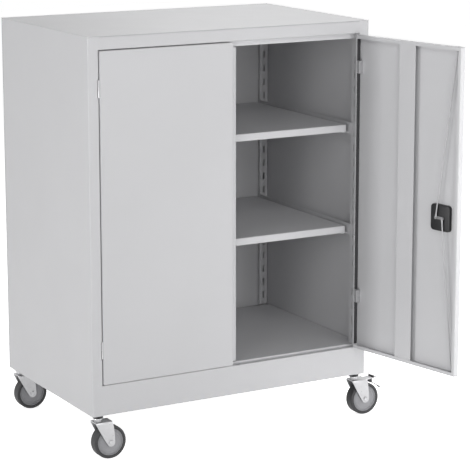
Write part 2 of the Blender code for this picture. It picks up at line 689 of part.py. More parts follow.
def make_lever(turn, face, back):
    """Grip in the dish with the spindle that passes through the dish to the cam."""
    grip = rounded_outline(LEVER_WIDTH / 2, LEVER_LENGTH / 2, LEVER_WIDTH / 2 - SEAT)
    lever = add_object("handle_lever", mesh_from(lambda work: add_prism(
        work, grip, door_plane(0, face, 0), LEVER_THICKNESS), "handle_lever"), black, turn)
    cam_front = back + SEAT
    middle = face + LEVER_THICKNESS / 2
    boolean(lever, cutter("lever_spindle", rods(
        SPINDLE_RADIUS, (0, middle, 0), (0, cam_front - SEAT, 0), 20), turn), "UNION")
    bore = CYLINDER_RADIUS + RUNNING
    boolean(lever, cutter("lever_bore", lambda work: add_rod(
        work, bore, (0, face - OVERRUN, 0), (0, face + CYLINDER_LENGTH + SEAT, 0), 20), turn))
    cylinder = add_object("lock_cylinder", mesh_from(rods(
        CYLINDER_RADIUS, (0, face - DISH_WALL / 2, 0), (0, face + CYLINDER_LENGTH, 0), 20),
        "lock_cylinder"), zinc, turn)
    boolean(cylinder, cutter("key_slot", lambda work: add_box(
        work, (-CYLINDER_RADIUS / 6, face - DISH_WALL, -CYLINDER_RADIUS / 2),
        (CYLINDER_RADIUS / 6, face + CYLINDER_LENGTH / 2, CYLINDER_RADIUS / 2)), turn))


def make_cam(turn, back):
    """Flat two-armed cam; each end carries a pin for a rod."""
    front = back + SEAT
    outline = rounded_outline(CAM_ARM + CAM_WIDTH / 2, CAM_WIDTH / 2, CAM_WIDTH / 2 - SEAT)
    cam = add_object("lock_cam", mesh_from(lambda work: add_prism(
        work, outline, door_plane(0, front, 0), CAM_THICKNESS), "lock_cam"), zinc, turn)
    reach = front + CAM_THICKNESS + SEAT + ROD_EYE_THICKNESS

    middle = front + CAM_THICKNESS / 2

    def pins(work):
        for x in (-CAM_ARM, CAM_ARM):
            add_rod(work, CAM_PIN_RADIUS, (x, middle, 0), (x, reach, 0), 12)

    boolean(cam, cutter("cam_pins", pins, turn), "UNION")


def make_rod(name, side, way, hinge, back):
    """Rod from its eye on the cam to its guide at the door's edge; way is 1 for the upper rod, else -1."""
    eye_y = back + SEAT + CAM_THICKNESS + 2 * SEAT
    pivot = add_empty(f"{name}_axis", hinge, (lock_x() + side * CAM_ARM, 0, LOCK_HEIGHT))
    end_x = -(DOOR_GAP + DOOR_WIDTH) + ROD_TIP_FROM_FREE_EDGE - (lock_x() + side * CAM_ARM)
    edge = DOOR_HIGH if way > 0 else DOOR_LOW
    end = Vector((end_x, -BARREL_FORWARD + ROD_TIP_DEPTH, edge - way * ROD_END_GAP - LOCK_HEIGHT))
    start = Vector((0, eye_y + ROD_EYE_THICKNESS / 2, 0))
    away = (end - start).normalized()
    straight = Vector((end.x, end.y, end.z - way * ROD_GUIDE_DEPTH))
    item = add_object(name, mesh_from(lambda work: add_rod(
        work, ROD_EYE_RADIUS, (0, eye_y, 0), (0, eye_y + ROD_EYE_THICKNESS, 0), 20), name), zinc, pivot)
    near, far = start + away * ROD_EYE_RADIUS / 2, straight + away * ROD_RADIUS / 2
    through = eye_y + ROD_EYE_THICKNESS + OVERRUN
    boolean(item, cutter(f"{name}_shaft", rods(ROD_RADIUS, near, far, 12), pivot), "UNION")
    boolean(item, cutter(f"{name}_tip", rods(ROD_RADIUS, straight, end, 12), pivot), "UNION")
    boolean(item, cutter(f"{name}_bore", rods(
        CAM_PIN_RADIUS + RUNNING, (0, eye_y - OVERRUN, 0), (0, through, 0), 12), pivot))


def fork_outline():
    """Side view of a fork: crown, short front edge, slanted front of the leg, round end and rear edge."""
    crown = -CROWN_TOP
    points = [(-FORK_FRONT, crown), (-FORK_FRONT, crown - FORK_SKIRT)]
    for step in range(6):
        angle = math.radians(FORK_END_START + step * (360 - FORK_END_START) / 5)
        points.append((CASTER_TRAIL + FORK_END_RADIUS * math.cos(angle),
                       -AXLE_DROP + FORK_END_RADIUS * math.sin(angle)))
    points.append((FORK_REAR, crown))
    return points


def make_caster(corner, parent):
    """Fixed head with its ball race, kingpin and stem; turning fork, axle, and the wheel's hub and tyre."""
    x, y = CORNERS[corner]
    braked = corner.endswith("right")
    make_caster_head(corner, x, y, parent)
    swivel = add_empty(f"swivel_{corner}", parent, (x, y, 0))
    half = FORK_WIDTH / 2
    crown = -CROWN_TOP
    foot = -AXLE_DROP - FORK_END_RADIUS - OVERRUN
    profile = [(-FORK_FRONT, -half, foot), (-FORK_FRONT, -half, crown), (-FORK_FRONT, half, crown),
               (-FORK_FRONT, half, foot)]
    fork = folded(f"caster_fork_{corner}", profile, (FORK_FRONT + FORK_REAR + FORK_END_RADIUS, 0, 0),
                  (-FORK_FRONT, -BODY_WIDTH, foot / 2), zinc, swivel, FORK_SHEET, FORK_SHEET * 1.3)
    upright = Matrix.Translation((0, half + OVERRUN, 0)) @ Matrix.Rotation(math.radians(90), 4, "X")
    boolean(fork, cutter(f"fork_shape_{corner}", lambda work: add_prism(
        work, fork_outline(), upright, FORK_WIDTH + 2 * OVERRUN), swivel), "INTERSECT")

    def bores(work):
        through = crown - FORK_SHEET - OVERRUN
        add_rod(work, KINGPIN_RADIUS + RUNNING, (0, 0, crown + OVERRUN), (0, 0, through), 12)
        add_rod(work, AXLE_RADIUS + SEAT, (CASTER_TRAIL, -half - OVERRUN, -AXLE_DROP),
                (CASTER_TRAIL, half + OVERRUN, -AXLE_DROP), 16)
        if braked:
            px, pz = pedal_pivot()
            side = half + OVERRUN
            add_rod(work, PEDAL_PIVOT_RADIUS + RUNNING, (px, -side, pz), (px, side, pz), 16)

    boolean(fork, cutter(f"fork_bores_{corner}", bores, swivel))
    if braked:
        make_pedal(corner, swivel)
    make_axle(corner, half, swivel)
    wheel = add_empty(f"wheel_{corner}", swivel, (CASTER_TRAIL, 0, -AXLE_DROP))
    make_wheel(corner, wheel)


def make_caster_head(corner, x, y, parent):
    """Disc and ball race under the body, stem and nut above, kingpin with its head through the fork."""
    race = -HEAD_HEIGHT - RACE_HEIGHT
    under = -CROWN_TOP - FORK_SHEET - SEAT
    nut = SHEET + SEAT
    head = add_object(f"caster_head_{corner}", mesh_from(lambda work: add_rod(
        work, HEAD_RADIUS, (x, y, -SEAT), (x, y, -HEAD_HEIGHT), 24), "caster_head"), zinc, parent)
    parts = (
        ("race", RACE_RADIUS, -HEAD_HEIGHT + SHEET, race, 20),
        ("kingpin", KINGPIN_RADIUS, race + SHEET, under - SHEET, 12),
        ("kingpin_head", KINGPIN_HEAD_RADIUS, under, under - KINGPIN_HEAD_HEIGHT, 12),
        ("stem", STEM_RADIUS, -HEAD_HEIGHT / 2, STEM_REACH, 12),
        ("stem_nut", STEM_NUT_RADIUS, nut, nut + STEM_NUT_HEIGHT, 6),
    )
    for name, radius, start, end, sides in parts:
        shape = rods(radius, (x, y, start), (x, y, end), sides)
        boolean(head, cutter(f"{name}_{corner}", shape, parent), "UNION")


def rods(radius, start, end, sides):
    return lambda work: add_rod(work, radius, start, end, sides)


def make_axle(corner, half, swivel):
    """Axle bolt through both legs, with a head on one end and a nut on the other."""
    side = half + SEAT

    def axle(work):
        add_rod(work, AXLE_RADIUS, (CASTER_TRAIL, -side - OVERRUN, -AXLE_DROP),
                (CASTER_TRAIL, side + OVERRUN, -AXLE_DROP), 16)

    item = add_object(f"wheel_axle_{corner}", mesh_from(axle, "axle"), zinc, swivel)
    for end in (-1, 1):
        boolean(item, cutter(f"axle_end_{corner}_{end + 1}", lambda work: add_rod(
            work, AXLE_HEAD_RADIUS, (CASTER_TRAIL, end * side, -AXLE_DROP),
            (CASTER_TRAIL, end * (side + AXLE_HEAD_HEIGHT), -AXLE_DROP), 6), swivel), "UNION")


def make_wheel(corner, wheel):
    seat = WHEEL_RADIUS - TYRE_THICKNESS
    half, shoulder = WHEEL_WIDTH / 2, TYRE_SHOULDER
    tyre = [
        (seat + SEAT, half), (WHEEL_RADIUS - shoulder, half), (WHEEL_RADIUS, half - shoulder),
        (WHEEL_RADIUS, -half + shoulder), (WHEEL_RADIUS - shoulder, -half), (seat + SEAT, -half),
    ]
    turned(f"wheel_tyre_{corner}", tyre, rubber, wheel)
    rim, web, boss = HUB_WIDTH / 2, HUB_WEB / 2, FORK_WIDTH / 2 - FORK_SHEET - SEAT
    bore = AXLE_RADIUS + RUNNING
    hub = [
        (bore, boss), (HUB_BOSS_RADIUS, boss), (HUB_BOSS_RADIUS, web), (seat - HUB_RIM, web),
        (seat - HUB_RIM, rim), (seat, rim), (seat, -rim), (seat - HUB_RIM, -rim),
        (seat - HUB_RIM, -web), (HUB_BOSS_RADIUS, -web), (HUB_BOSS_RADIUS, -boss), (bore, -boss),
    ]
    turned(f"wheel_hub_{corner}", hub, plastic, wheel)


def pedal_pivot():
    return FORK_REAR - 2 * PEDAL_PIVOT_RADIUS, -CROWN_TOP - FORK_SHEET - PEDAL_PIVOT_DROP


def make_pedal(corner, swivel):
    """Foot pedal: pivot bar, rising foot plate with a ridge, brake block under it and release lever."""
    px, pz = pedal_pivot()
    axis = add_empty(f"pedal_{corner}", swivel, (px, 0, pz))
    half = FORK_WIDTH / 2
    item = add_object(f"brake_pedal_{corner}", mesh_from(lambda work: add_rod(
        work, PEDAL_PIVOT_RADIUS, (0, -half, 0), (0, half, 0), 16), "pivot"), zinc, axis)
    top = PEDAL_PIVOT_RADIUS
    low = top - PEDAL_SHEET
    start = PEDAL_LENGTH * PEDAL_TAB_SHARE
    level = top + PEDAL_RISE * PEDAL_TAB_SHARE
    foot = [(0, low), (PEDAL_LENGTH, low + PEDAL_RISE), (PEDAL_LENGTH, top + PEDAL_RISE), (0, top)]
    ridge = [(start, level - PEDAL_SHEET / 2), (start + PEDAL_SHEET * 2, level - PEDAL_SHEET / 2),
             (start + PEDAL_SHEET * 2, level + PEDAL_TAB_HEIGHT), (start, level + PEDAL_TAB_HEIGHT)]
    slope = PEDAL_RISE / PEDAL_LENGTH
    middle = (low + top) / 2
    block = [(BRAKE_NEAR, -BRAKE_NEAR_DROP), (BRAKE_FAR, -BRAKE_FAR_DROP),
             (BRAKE_FAR, middle + slope * BRAKE_FAR), (BRAKE_NEAR, middle + slope * BRAKE_NEAR)]
    for name, outline, width in (("foot", foot, PEDAL_WIDTH), ("ridge", ridge, PEDAL_TAB_WIDTH),
                                 ("block", block, BRAKE_WIDTH)):
        boolean(item, cutter(f"pedal_{name}_{corner}", slab(outline, width), axis), "UNION")
    boolean(item, cutter(f"pedal_release_{corner}", rods(
        RELEASE_RADIUS, (BRAKE_FAR - PEDAL_SHEET, 0, -RELEASE_START_DROP),
        (PEDAL_LENGTH + RELEASE_REACH, 0, -RELEASE_DROP), 10), axis), "UNION")


def slab(outline, width):
    """Side view, x along and z up, made as wide as given across y."""
    place = Matrix.Translation((0, width / 2, 0)) @ Matrix.Rotation(math.radians(90), 4, "X")
    return lambda work: add_prism(work, outline, place, width)


def footprint_centre():
    """Centre, seen from above, of the box around the cabinet as it stands with its right-hand door open."""
    bpy.context.view_layer.update()
    graph = bpy.context.evaluated_depsgraph_get()
    spots = []
    for item in collections["cabinet"].objects:
        if item.type == "MESH":
            shown = item.evaluated_get(graph)
            spots += [shown.matrix_world @ vert.co for vert in shown.data.vertices]
    return [(min(spot[axis] for spot in spots) + max(spot[axis] for spot in spots)) / 2 for axis in (0, 1)]


def shade(item):
    if item.type == "MESH" and item.data.polygons:
        item.data.shade_smooth()
        item.data.set_sharp_from_angle(angle=math.radians(35))


def build():
    root = add_empty("cabinet_body", None, (0, 0, CASTER_HEIGHT))
    for side in ("left", "right"):
        make_side_panel(side, root)
    make_top(root)
    make_base(root)
    make_uprights(root)
    make_shelves(root)
    axes = {side: (mirrored(STILE_WIDTH, side), BARREL_FORWARD) for side in ("left", "right")}
    turns = {"left": 0.0, "right": RIGHT_DOOR_ANGLE}
    for side, (x, y) in axes.items():
        hinge = add_empty(f"{side}_hinge_axis", root, (x, y, 0), turns[side])
        make_door(side, hinge)
        for index in range(2):
            make_hinge(side, index, (x, y), root, hinge)
        if side == "right":
            make_lock(hinge)
            back = -BARREL_FORWARD + DISH_DEPTH
            make_rod("upper_lock_rod", 1, 1, hinge, back)
            make_rod("lower_lock_rod", -1, -1, hinge, back)
    for corner in CORNERS:
        make_caster(corner, root)
    for item in collections["cabinet"].objects:
        shade(item)
    centre_x, centre_y = footprint_centre()
    root.location = (-centre_x, -centre_y, CASTER_HEIGHT)


clear_scene()
collections = {name: make_collection(name) for name in ("cabinet", "cutters")}
paint = make_material("light_grey_paint", (0.56, 0.56, 0.58), 0.45, 0.0)
zinc = make_material("zinc_plated_steel", (0.72, 0.72, 0.73), 0.32, 0.85)
black = make_material("black_plastic", (0.02, 0.02, 0.021), 0.45, 0.0)
rubber = make_material("grey_rubber", (0.075, 0.075, 0.08), 0.75, 0.0)
plastic = make_material("grey_plastic", (0.30, 0.30, 0.32), 0.5, 0.0)
build()
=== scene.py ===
"""Light grey steel cabinet on casters, left-hand door shut and right-hand door open, as in the photograph."""

import math

import bmesh
import bpy
from mathutils import Matrix, Vector


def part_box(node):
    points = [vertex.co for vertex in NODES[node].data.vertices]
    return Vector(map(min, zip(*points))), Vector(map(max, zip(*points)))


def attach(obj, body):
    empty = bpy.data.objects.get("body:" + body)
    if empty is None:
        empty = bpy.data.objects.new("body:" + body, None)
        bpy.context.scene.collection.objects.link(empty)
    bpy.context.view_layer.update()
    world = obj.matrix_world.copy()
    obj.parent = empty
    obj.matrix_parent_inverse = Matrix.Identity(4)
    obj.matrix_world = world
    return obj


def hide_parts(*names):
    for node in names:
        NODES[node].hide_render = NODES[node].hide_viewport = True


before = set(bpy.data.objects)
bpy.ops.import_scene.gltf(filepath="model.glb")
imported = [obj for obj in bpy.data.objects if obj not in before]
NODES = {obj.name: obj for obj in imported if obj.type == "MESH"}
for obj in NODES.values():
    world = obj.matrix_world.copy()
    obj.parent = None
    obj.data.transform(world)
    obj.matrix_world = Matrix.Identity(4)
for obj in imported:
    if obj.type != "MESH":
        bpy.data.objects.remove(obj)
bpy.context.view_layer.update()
CORNER = Vector(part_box("left_side_panel")[0])  # front left bottom corner of the body
WIDTH, DEPTH = 0.920, 0.600
DOOR_ANGLE = math.radians(101.0)
HINGE_PLACE = Vector((0.8875, 0.001, 0))
RIGHT_HINGE = Matrix.Translation(CORNER + HINGE_PLACE) @ Matrix.Rotation(DOOR_ANGLE, 4, "Z")
BODY = Matrix.Translation(CORNER)


# Materials

def new_material(name, colour, roughness, metallic=0.0):
    material = bpy.data.materials.new(name)
    material.use_nodes = True
    shader = material.node_tree.nodes["Principled BSDF"]
    shader.inputs["Base Color"].default_value = (*colour, 1.0)
    shader.inputs["Roughness"].default_value = roughness
    shader.inputs["Metallic"].default_value = metallic
    return material, material.node_tree, shader


def noise(tree, scale, detail=2.0, roughness=0.5, stretch=(1, 1, 1)):
    place = tree.nodes.new("ShaderNodeTexCoord")
    mapping = tree.nodes.new("ShaderNodeMapping")
    mapping.inputs["Scale"].default_value = stretch
    texture = tree.nodes.new("ShaderNodeTexNoise")
    texture.inputs["Scale"].default_value = scale
    texture.inputs["Detail"].default_value = detail
    texture.inputs["Roughness"].default_value = roughness
    tree.links.new(place.outputs["Object"], mapping.inputs["Vector"])
    tree.links.new(mapping.outputs["Vector"], texture.inputs["Vector"])
    return texture.outputs["Fac"]


def ramp(tree, value, low, high, start=0.3, end=0.7):
    node = tree.nodes.new("ShaderNodeValToRGB")
    node.color_ramp.elements[0].position = start
    node.color_ramp.elements[0].color = (*low, 1)
    node.color_ramp.elements[1].position = end
    node.color_ramp.elements[1].color = (*high, 1)
    tree.links.new(value, node.inputs["Fac"])
    return node.outputs["Color"]


def spread(tree, value, low, high):
    node = tree.nodes.new("ShaderNodeMapRange")
    node.inputs["To Min"].default_value = low
    node.inputs["To Max"].default_value = high
    tree.links.new(value, node.inputs["Value"])
    return node.outputs["Result"]


def bump(tree, shader, value, strength, distance):
    node = tree.nodes.new("ShaderNodeBump")
    node.inputs["Strength"].default_value = strength
    node.inputs["Distance"].default_value = distance
    tree.links.new(value, node.inputs["Height"])
    tree.links.new(node.outputs["Normal"], shader.inputs["Normal"])


def finish(name, colour, roughness, metallic, vary, patch, grain, relief, gloss=0.06):
    """Colour drifts by vary over patches, roughness by gloss, and the surface has a fine grain."""
    material, tree, shader = new_material(name, colour, roughness, metallic)
    drift = noise(tree, patch, 3.0, 0.55)
    low = [c * (1 - vary) for c in colour]
    high = [min(1.0, c * (1 + vary)) for c in colour]
    tree.links.new(ramp(tree, drift, low, high), shader.inputs["Base Color"])
    tree.links.new(spread(tree, noise(tree, patch * 3, 2.0), roughness - gloss, roughness + gloss),
                   shader.inputs["Roughness"])
    bump(tree, shader, noise(tree, grain, 4.0, 0.6), relief, 0.0004)
    return material


paint = finish("grey_powder_coat", (0.575, 0.575, 0.588), 0.46, 0.0, 0.012, 3.0, 1100, 0.10)
zinc = finish("zinc_plating", (0.48, 0.48, 0.49), 0.30, 0.72, 0.05, 60, 900, 0.10)
rod_steel = finish("zinc_rod", (0.42, 0.42, 0.43), 0.42, 0.45, 0.05, 40, 900, 0.10)
# Dark steel for the brake blocks and release tips; on the caster head discs the same dark is painted shade.
dark_steel_and_painted_shade = finish("dark_steel_and_painted_shade", (0.026, 0.026, 0.028), 0.42, 0.5, 0.10, 50, 900, 0.15)
rubber = finish("grey_rubber", (0.030, 0.030, 0.032), 0.62, 0.0, 0.10, 45, 1500, 0.22)
cam_steel = finish("cam_steel", (0.25, 0.25, 0.255), 0.40, 0.35, 0.06, 50, 900, 0.10)
hub_grey = finish("grey_hub_plastic", (0.31, 0.31, 0.325), 0.42, 0.0, 0.04, 40, 1300, 0.12)
black = finish("black_plastic", (0.009, 0.009, 0.010), 0.36, 0.0, 0.10, 60, 1800, 0.25)


# Mesh helpers

def add_piece(name, build, material, body, *replaced, matrix=BODY, slot=None, smooth=35, bevel=0.0):
    """Makes one piece from a bmesh, with its place in the mesh, and lets it ride on a body."""
    work = bmesh.new()
    build(work)
    bmesh.ops.recalc_face_normals(work, faces=work.faces[:])
    mesh = bpy.data.meshes.new(name)
    work.to_mesh(mesh)
    work.free()
    mesh.transform(matrix)
    item = bpy.data.objects.new(name, mesh)
    bpy.context.scene.collection.objects.link(item)
    mesh.materials.append(material)
    if bevel:
        soften(item, bevel, 3, 35)
    item.data.shade_smooth()
    item.data.set_sharp_from_angle(angle=math.radians(smooth))
    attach(item, body)
    if replaced:
        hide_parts(*replaced)
    return item


def soften(item, width, segments, angle):
    """Bevels every edge that is sharper than angle, in degrees."""
    edge = item.modifiers.new("edges", "BEVEL")
    edge.width = width
    edge.segments = segments
    edge.limit_method = "ANGLE"
    edge.angle_limit = math.radians(angle)
    bake(item)


def bake(item):
    """Replaces the piece's mesh by its mesh with all modifiers applied."""
    graph = bpy.context.evaluated_depsgraph_get()
    mesh = bpy.data.meshes.new_from_object(item.evaluated_get(graph))
    item.modifiers.clear()
    item.data = mesh


def add_box(work, low, high):
    low, high = Vector(low), Vector(high)
    cube = bmesh.ops.create_cube(work, size=1.0)
    bmesh.ops.scale(work, vec=high - low, verts=cube["verts"])
    bmesh.ops.translate(work, vec=(low + high) / 2, verts=cube["verts"])


def add_rod(work, radius, start, end, segments=24, tip=None):
    start, end = Vector(start), Vector(end)
    turn = (end - start).to_track_quat("Z", "Y").to_matrix().to_4x4()
    bmesh.ops.create_cone(work, cap_ends=True, segments=segments, radius1=radius,
                          radius2=radius if tip is None else tip, depth=(end - start).length,
                          matrix=Matrix.Translation((start + end) / 2) @ turn)


def revolve(work, profile, centre, axis="Y", segments=96, closed=True):
    """Turns a (radius, height) outline about an axis through centre."""
    centre = Vector(centre)
    rings = []
    for n in range(segments):
        angle = 2 * math.pi * n / segments
        ring = []
        for radius, height in profile:
            if axis == "Y":
                offset = Vector((radius * math.cos(angle), height, radius * math.sin(angle)))
            else:
                offset = Vector((radius * math.cos(angle), radius * math.sin(angle), height))
            ring.append(work.verts.new(centre + offset))
        rings.append(ring)
    count = len(profile)
    spans = count if closed else count - 1
    for n in range(segments):
        first, second = rings[n], rings[(n + 1) % segments]
        for k in range(spans):
            after = (k + 1) % count
            work.faces.new((first[k], first[after], second[after], second[k]))
    if not closed:
        work.faces.new([ring[0] for ring in rings])
        work.faces.new([ring[-1] for ring in rings])


def cut_away(item, shape, operation, matrix=BODY):
    """Cuts a piece with a shape, or keeps only what lies inside it."""
    work = bmesh.new()
    shape(work)
    bmesh.ops.recalc_face_normals(work, faces=work.faces[:])
    mesh = bpy.data.meshes.new("cutter")
    work.to_mesh(mesh)
    work.free()
    mesh.transform(matrix)
    other = bpy.data.objects.new("cutter", mesh)
    bpy.context.scene.collection.objects.link(other)
    change = item.modifiers.new("cut", "BOOLEAN")
    change.operation = operation
    change.solver = "EXACT"
    change.object = other
    bake(item)
    bpy.data.objects.remove(other, do_unlink=True)


def rounded(half_width, half_height, corner, steps=8, centre=(0, 0)):
    points = []
    for quarter, (sx, sy) in enumerate(((1, 1), (-1, 1), (-1, -1), (1, -1))):
        for step in range(steps + 1):
            angle = math.radians(90) * (quarter + step / steps)
            points.append((centre[0] + sx * (half_width - corner) + corner * math.cos(angle),
                           centre[1] + sy * (half_height - corner) + corner * math.sin(angle)))
    return points


def loft(work, rings):
    """Joins rings of points that have the same count, and caps both ends."""
    made = [[work.verts.new(point) for point in ring] for ring in rings]
    count = len(made[0])
    for low, high in zip(made, made[1:]):
        for n in range(count):
            work.faces.new((low[n], low[(n + 1) % count], high[(n + 1) % count], high[n]))
    work.faces.new(made[0])
    work.faces.new(made[-1])


def prism(work, outline, low, high, place):
    """Extrudes an outline from low to high; place turns (a, b, height) into a point."""
    loft(work, [[place(a, b, h) for a, b in outline] for h in (low, high)])


# Casters

TRAIL, AXLE_Z = 0.0325, -0.083428
CROWN_Z, FORK_SHEET, FORK_HALF = -0.0198, 0.0025, 0.02075
INSET_X, INSET_Y = 0.0255, 0.0215
CORNERS = {"front_left": (INSET_X, INSET_Y), "front_right": (WIDTH - INSET_X, INSET_Y),
           "rear_left": (INSET_X, DEPTH - INSET_Y), "rear_right": (WIDTH - INSET_X, DEPTH - INSET_Y)}


def build_head(x, y):
    """Disc under the body, with the stem and its nut above the rail's flange."""
    def head(work):
        profile = [(0.0005, 0.0120), (0.0046, 0.0120), (0.0050, 0.0115), (0.0050, -0.0003),
                   (0.0150, -0.0003), (0.0158, -0.0011), (0.0158, -0.0078), (0.0152, -0.0090),
                   (0.0140, -0.0098), (0.0120, -0.0104), (0.0005, -0.0104)]
        revolve(work, profile, (x, y, 0), "Z", 64, closed=False)
        nut = [(0.0051, 0.0016), (0.0092, 0.0016), (0.0096, 0.0022), (0.0096, 0.0074),
               (0.0088, 0.0080), (0.0051, 0.0080)]
        revolve(work, nut, (x, y, 0), "Z", 6)
    return head


def build_race(x, y):
    """Pressed ring that holds the balls, and the riveted end of the kingpin under the crown."""
    def race(work):
        ring = [(0.0005, -0.0105), (0.0117, -0.0105), (0.0121, -0.0112), (0.0121, -0.0136),
                (0.0112, -0.0146), (0.0112, -0.0158), (0.0122, -0.0166), (0.0122, -0.0186),
                (0.0116, -0.0194), (0.0005, -0.0194)]
        revolve(work, ring, (x, y, 0), "Z", 64, closed=False)
        under = CROWN_Z - FORK_SHEET
        rivet = [(0.0005, -0.0190), (0.0058, -0.0190), (0.0058, under - 0.0004),
                 (0.0088, under - 0.0004), (0.0088, under - 0.0018), (0.0062, under - 0.0034),
                 (0.0005, under - 0.0034)]
        revolve(work, rivet, (x, y, 0), "Z", 32, closed=False)
    return race


def fork_outline():
    """Side view: crown, short front edge, leg that narrows in a slight curve, round end and rear edge."""
    points = [(-0.0155, CROWN_Z), (-0.0155, -0.0238), (-0.0143, -0.0256), (-0.0100, -0.0328),
              (-0.0050, -0.0428), (0.0005, -0.0532), (0.0070, -0.0648), (0.0140, -0.0768)]
    for step in range(13):
        angle = math.radians(208 + step * 150 / 12)
        points.append((TRAIL + 0.0120 * math.cos(angle), AXLE_Z + 0.0120 * math.sin(angle)))
    points += [(0.0436, -0.062), (0.0412, -0.040), (0.0385, -0.0250), (0.0375, CROWN_Z)]
    return points


def build_fork(name, x, y, body):
    """Pressed fork: a folded crown whose two legs are trimmed to the side outline."""
    half = FORK_HALF

    def channel(work):
        bend = 0.0045
        start = CROWN_Z - bend
        outer = [(-half, -0.12), (-half, start)]
        for angle in (22, 45, 68, 90):
            turn = math.radians(angle)
            outer.append((-half + bend - bend * math.cos(turn), start + bend * math.sin(turn)))
        outer = outer + [(-a, b) for a, b in reversed(outer)]
        inner = []
        for a, b in outer:
            if abs(a) >= half - 1e-6:
                inner.append((math.copysign(abs(a) - FORK_SHEET, a), b))
            else:
                centre = Vector((math.copysign(half - bend, a), start))
                out = (Vector((a, b)) - centre).normalized()
                inner.append(tuple(Vector((a, b)) - out * FORK_SHEET))
        outline = outer + inner[::-1]
        loft(work, [[(x + along, y + a, b) for a, b in outline] for along in (-0.03, 0.06)])

    def trim(work):
        prism(work, fork_outline(), -0.04, 0.04, lambda a, b, h: (x + a, y + h, b))

    def round_corners(work):
        radius, front = 0.006, -0.0155
        outline = [(0.07, half + 0.001), (front + radius, half + 0.001)]
        for angle in range(15, 91, 15):
            turn = math.radians(angle)
            outline.append((front + radius - radius * math.sin(turn),
                            half - radius + radius * math.cos(turn)))
        whole = outline + [(a, -b) for a, b in reversed(outline)]
        prism(work, whole, -0.13, 0.0, lambda a, b, h: (x + a, y + b, h))

    def centre_hole(work):
        add_rod(work, 0.0063, (x, y, -0.01), (x, y, -0.04), 32)

    fork = add_piece(name, channel, zinc, body, name.replace("fork_skin", "caster_fork"), slot="zinc")
    for shape, operation in ((trim, "INTERSECT"), (round_corners, "INTERSECT"), (centre_hole, "DIFFERENCE")):
        cut_away(fork, shape, operation)
    soften(fork, 0.0006, 2, 50)
    fork.data.materials.clear()
    fork.data.materials.append(zinc)
    fork.data.shade_smooth()
    fork.data.set_sharp_from_angle(angle=math.radians(40))
    return fork


def build_wheel(corner, x, y):
    centre = (x + TRAIL, y, AXLE_Z)
    seat, half = 0.0398, 0.0155

    def tyre(work):
        side = [(seat, half - 0.0008), (0.0404, half - 0.0002), (0.0412, half), (0.0464, half),
                (0.0479, half - 0.0004), (0.0489, half - 0.0013), (0.0494, half - 0.0026),
                (0.0495, half - 0.0050), (0.0495, 0.0030)]
        revolve(work, side + [(r, -h) for r, h in reversed(side)], centre)

    def hub(work):
        rim, web, boss = 0.0146, 0.0126, FORK_HALF - FORK_SHEET - 0.0004
        side = [(0.0053, boss), (0.0098, boss), (0.0110, boss - 0.0010), (0.0118, web + 0.0004),
                (0.0128, web), (0.0286, web), (0.0292, web + 0.0008), (0.0302, web + 0.0008),
                (0.0308, web), (0.0338, web), (0.0344, web + 0.0012), (0.0352, web + 0.0012),
                (0.0358, web - 0.0004), (0.0368, web - 0.0004), (0.0374, rim), (0.0390, rim),
                (seat - 0.0002, rim - 0.0008)]
        revolve(work, side + [(r, -h) for r, h in reversed(side)], centre)

    body = f"wheel_{corner}"
    add_piece(f"tyre_skin_{corner}", tyre, rubber, body, f"wheel_tyre_{corner}", slot="rubber")
    add_piece(f"hub_skin_{corner}", hub, hub_grey, body, f"wheel_hub_{corner}",
              slot="hub_plastic", smooth=50)


def build_axle(corner, x, y):
    at = Vector((x + TRAIL, y, AXLE_Z))

    def axle(work):
        side = FORK_HALF + 0.0003
        add_rod(work, 0.0050, at + Vector((0, -side, 0)), at + Vector((0, side, 0)), 32)
        head = [(0.0004, side), (0.0086, side), (0.0086, side + 0.0007), (0.0070, side + 0.0009),
                (0.0070, side + 0.0028), (0.0062, side + 0.0035), (0.0004, side + 0.0035)]
        revolve(work, head, at, "Y", 40, False)
        revolve(work, [(r, -h) for r, h in head], at, "Y", 6, False)

    add_piece(f"axle_skin_{corner}", axle, zinc, f"swivel_{corner}", f"wheel_axle_{corner}", slot="zinc")


